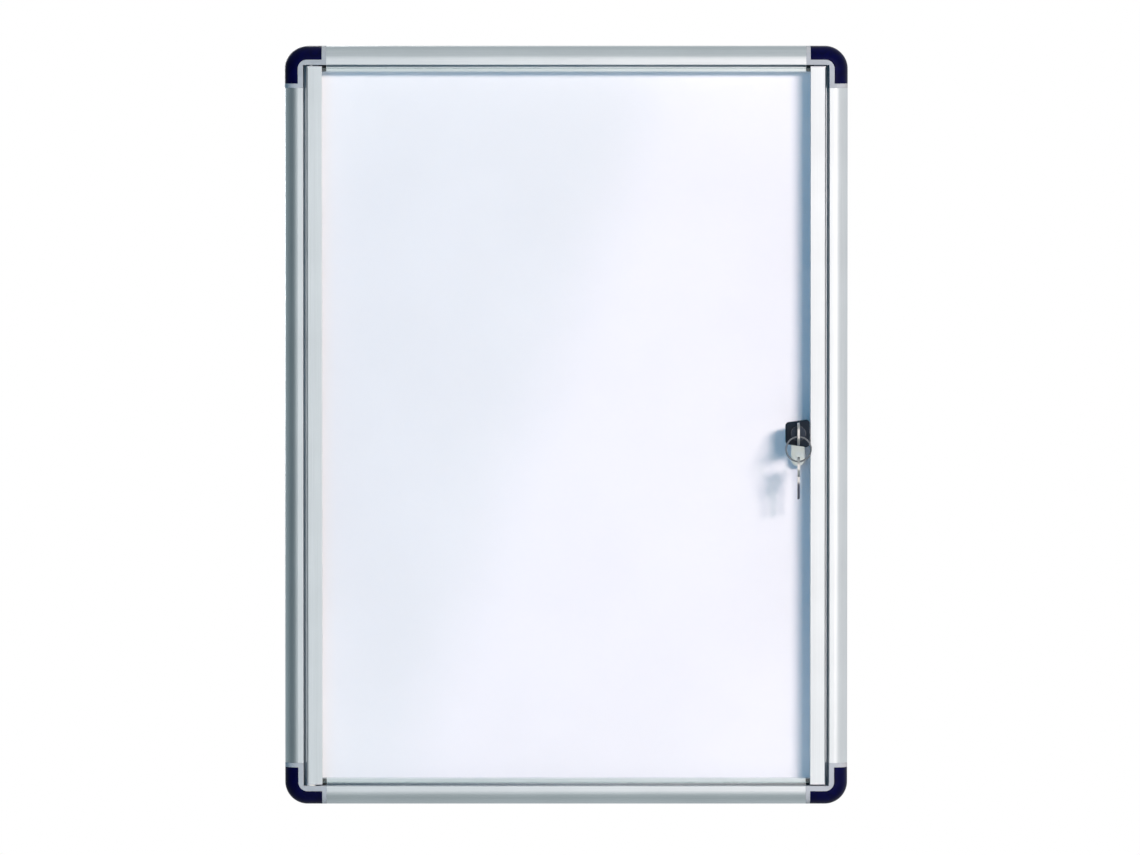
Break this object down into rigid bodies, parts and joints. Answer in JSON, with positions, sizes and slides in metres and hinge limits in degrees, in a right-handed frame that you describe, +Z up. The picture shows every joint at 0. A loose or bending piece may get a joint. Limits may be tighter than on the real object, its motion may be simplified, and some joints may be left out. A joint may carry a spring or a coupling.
{
  "type": "lockable notice case",
  "caption": "Slim lockable wall notice case: aluminium frame with moulded corners, white magnetic back, clear hinged door, cam lock with its key on a split ring.",
  "frame": {"origin": "middle of the wall plane, the centre of the four wall fixing holes", "axes": "+X to the right seen from the front, +Y into the wall, +Z up; the door faces -Y"},
  "size_m": [0.5, 0.0644, 0.674],
  "materials": {
    "aluminium": "satin anodised extrusion",
    "corner_grey": "fine grained moulding",
    "corner_blue": "smooth dark blue moulding",
    "galvanised": "galvanised sheet",
    "core": "pressed fibre board",
    "white_lacquer": "white lacquered steel",
    "plated_steel": "zinc plated",
    "bumper": "black soft pad",
    "nylon": "natural nylon",
    "clear_pane": "clear",
    "gasket": "soft grey",
    "stile_plug": "light grey moulding",
    "lock_black": "black die casting",
    "lock_seat": "black",
    "nickel": "nickel plated",
    "brass": "stamped"
  },
  "bodies": {
    "frame": {"rail_top": "aluminium", "rail_bottom": "aluminium", "rail_left": "aluminium", "rail_right": "aluminium", "corner_bracket_top_left": "corner_grey", "corner_bracket_top_right": "corner_grey", "corner_bracket_bottom_left": "corner_grey", "corner_bracket_bottom_right": "corner_grey", "corner_cap_top_left": "corner_blue", "corner_cap_top_right": "corner_blue", "corner_cap_bottom_left": "corner_blue", "corner_cap_bottom_right": "corner_blue", "rear_sheet": "galvanised", "core_board": "core", "face_sheet": "white_lacquer", "tenon_screws": "plated_steel", "door_bumpers": "bumper", "thrust_washer": "nylon"},
    "door": {"door_pane": "clear_pane", "hinge_stile": "aluminium", "lock_stile": "aluminium", "hinge_gasket": "gasket", "lock_gasket": "gasket", "hinge_plug_top": "stile_plug", "hinge_plug_bottom": "stile_plug", "lock_stile_plug_top": "stile_plug", "lock_stile_plug_bottom": "stile_plug", "pivot_pin_top": "plated_steel", "pivot_pin_bottom": "plated_steel", "lock_body": "lock_black", "lock_seat": "lock_seat", "lock_washer": "plated_steel", "lock_nut": "plated_steel"},
    "lock_plug": {"lock_plug": "nickel", "lock_cam": "plated_steel", "cam_screw": "plated_steel"},
    "wafers": {"lock_wafers": "brass"},
    "key": {"lock_key": "nickel"},
    "ring": {"key_ring": "nickel"},
    "spare_key": {"spare_key": "nickel"}
  },
  "joints": [
    {"name": "door_swing", "type": "hinge", "parent": "frame", "child": "door", "pos_m": [-0.2265, -0.0296, 0], "axis": [0, 0, -1], "range_deg": [0, 110]},
    {"name": "lock_turn", "type": "hinge", "parent": "door", "child": "lock_plug", "pos_m": [0.2061, -0.0296, -0.0065], "axis": [0, -1, 0], "range_deg": [0, 90]},
    {"name": "key_withdraw", "type": "slide", "parent": "lock_plug", "child": "key", "axis": [0, -1, 0], "range_m": [0, 0.024]},
    {"name": "wafer_lift", "type": "slide", "parent": "lock_plug", "child": "wafers", "axis": [0, 0, 1], "range_m": [0, 0.0009]},
    {"name": "ring_hang", "type": "hinge", "parent": "key", "child": "ring", "pos_m": [0.2071, -0.0544, -0.01], "axis": [0, -1, 0], "range_deg": [-60, 0]},
    {"name": "spare_key_hang", "type": "hinge", "parent": "ring", "child": "spare_key", "pos_m": [0.2061, -0.0544, -0.0198], "axis": [0, -1, 0], "range_deg": [-40, 0]}
  ],
  "couplings": [
    {"joint": "wafer_lift", "follows": "key_withdraw", "ratio": 0.0375},
    {"joint": "ring_hang", "follows": "lock_turn", "ratio": -0.6},
    {"joint": "spare_key_hang", "follows": "lock_turn", "ratio": -0.4}
  ]
}
